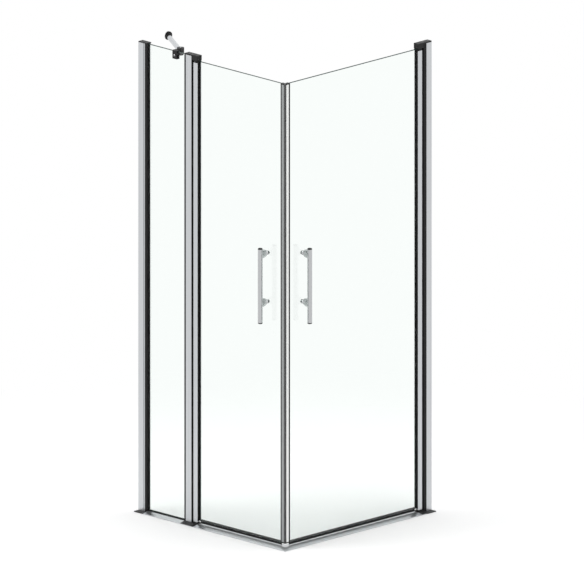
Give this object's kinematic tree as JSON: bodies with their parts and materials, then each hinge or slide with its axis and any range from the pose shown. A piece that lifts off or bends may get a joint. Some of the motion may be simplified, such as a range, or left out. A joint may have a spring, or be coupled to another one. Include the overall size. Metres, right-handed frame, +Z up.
{
  "type": "corner shower enclosure with pivot doors",
  "caption": "Corner-entry shower enclosure: glass pivot doors that meet at the corner and open outwards, a fixed glass pane, stay bar, wall profiles and threshold rails.",
  "frame": {"origin": "centre of the square floor plan at floor level: halfway between the wall faces and the outermost handle faces", "axes": "+X from the wall of the fixed pane towards the free corner, +Y from the free corner towards the wall of the wide door, +Z up"},
  "size_m": [0.894, 0.894, 2.012],
  "materials": {
    "satin_aluminium": "satin anodised extrusion",
    "black_plastic": "moulded, fine texture",
    "black_rubber": "matt extruded EPDM",
    "clear_glass": "clear toughened glass, polished edges",
    "polished_steel": "polished",
    "stainless_steel": "turned",
    "grey_pvc": "extruded, satin",
    "white_pvc": "extruded, satin",
    "clear_pvc": "clear soft extrusion",
    "white_acetal": "machined",
    "magnet": "bonded ferrite strip"
  },
  "bodies": {
    "frame": {"left_wall_channel": "satin_aluminium", "left_adjusting_profile": "satin_aluminium", "left_channel_screws": "stainless_steel", "left_wall_cap": "black_plastic", "left_wall_foot": "black_plastic", "fixed_glass": "clear_glass", "wall_glazing_gaskets": "black_rubber", "post_glazing_gaskets": "black_rubber", "sill_beads": "black_rubber", "setting_blocks": "black_rubber", "hinge_post": "satin_aluminium", "post_seal": "black_rubber", "left_top_pivot_block": "black_plastic", "left_bottom_pivot_block": "black_plastic", "left_pivot_pins": "stainless_steel", "left_block_screws": "stainless_steel", "right_wall_channel": "satin_aluminium", "right_hinge_profile": "satin_aluminium", "right_channel_screws": "stainless_steel", "right_hinge_seal": "black_rubber", "right_top_pivot_block": "black_plastic", "right_bottom_pivot_block": "black_plastic", "right_pivot_pins": "stainless_steel", "right_block_screws": "stainless_steel", "left_threshold_rail": "satin_aluminium", "right_threshold_rail": "satin_aluminium", "threshold_corner_key": "black_plastic", "threshold_end_caps": "black_plastic", "stay_clamp": "black_plastic", "stay_clamp_pads": "black_rubber", "stay_clamp_screws": "stainless_steel", "stay_knuckle": "black_plastic", "stay_bar": "satin_aluminium", "stay_flange": "black_plastic"},
    "left_door": {"left_door_stile": "satin_aluminium", "left_door_gaskets": "black_rubber", "left_door_glass": "clear_glass", "left_door_pivot_plugs": "black_plastic", "left_door_bushes": "white_acetal", "left_door_magnet_strip": "grey_pvc", "left_door_magnet": "magnet", "left_door_bottom_seal": "clear_pvc", "left_handle_bar": "polished_steel", "left_handle_caps": "black_plastic", "left_handle_feet": "polished_steel", "left_handle_screws": "stainless_steel", "left_handle_washers": "black_rubber"},
    "right_door": {"right_door_stile": "satin_aluminium", "right_door_gaskets": "black_rubber", "right_door_glass": "clear_glass", "right_door_pivot_plugs": "black_plastic", "right_door_bushes": "white_acetal", "right_door_magnet_strip": "white_pvc", "right_door_magnet": "magnet", "right_door_bottom_seal": "clear_pvc", "right_handle_bar": "polished_steel", "right_handle_caps": "black_plastic", "right_handle_feet": "polished_steel", "right_handle_screws": "stainless_steel", "right_handle_washers": "black_rubber"}
  },
  "joints": [
    {"name": "left_door_swing", "type": "hinge", "parent": "frame", "child": "left_door", "pos_m": [-0.1219, -0.394, 1], "axis": [0, 0, -1], "range_deg": [0, 90]},
    {"name": "right_door_swing", "type": "hinge", "parent": "frame", "child": "right_door", "pos_m": [0.394, 0.3869, 1], "axis": [0, 0, 1], "range_deg": [0, 90]}
  ]
}
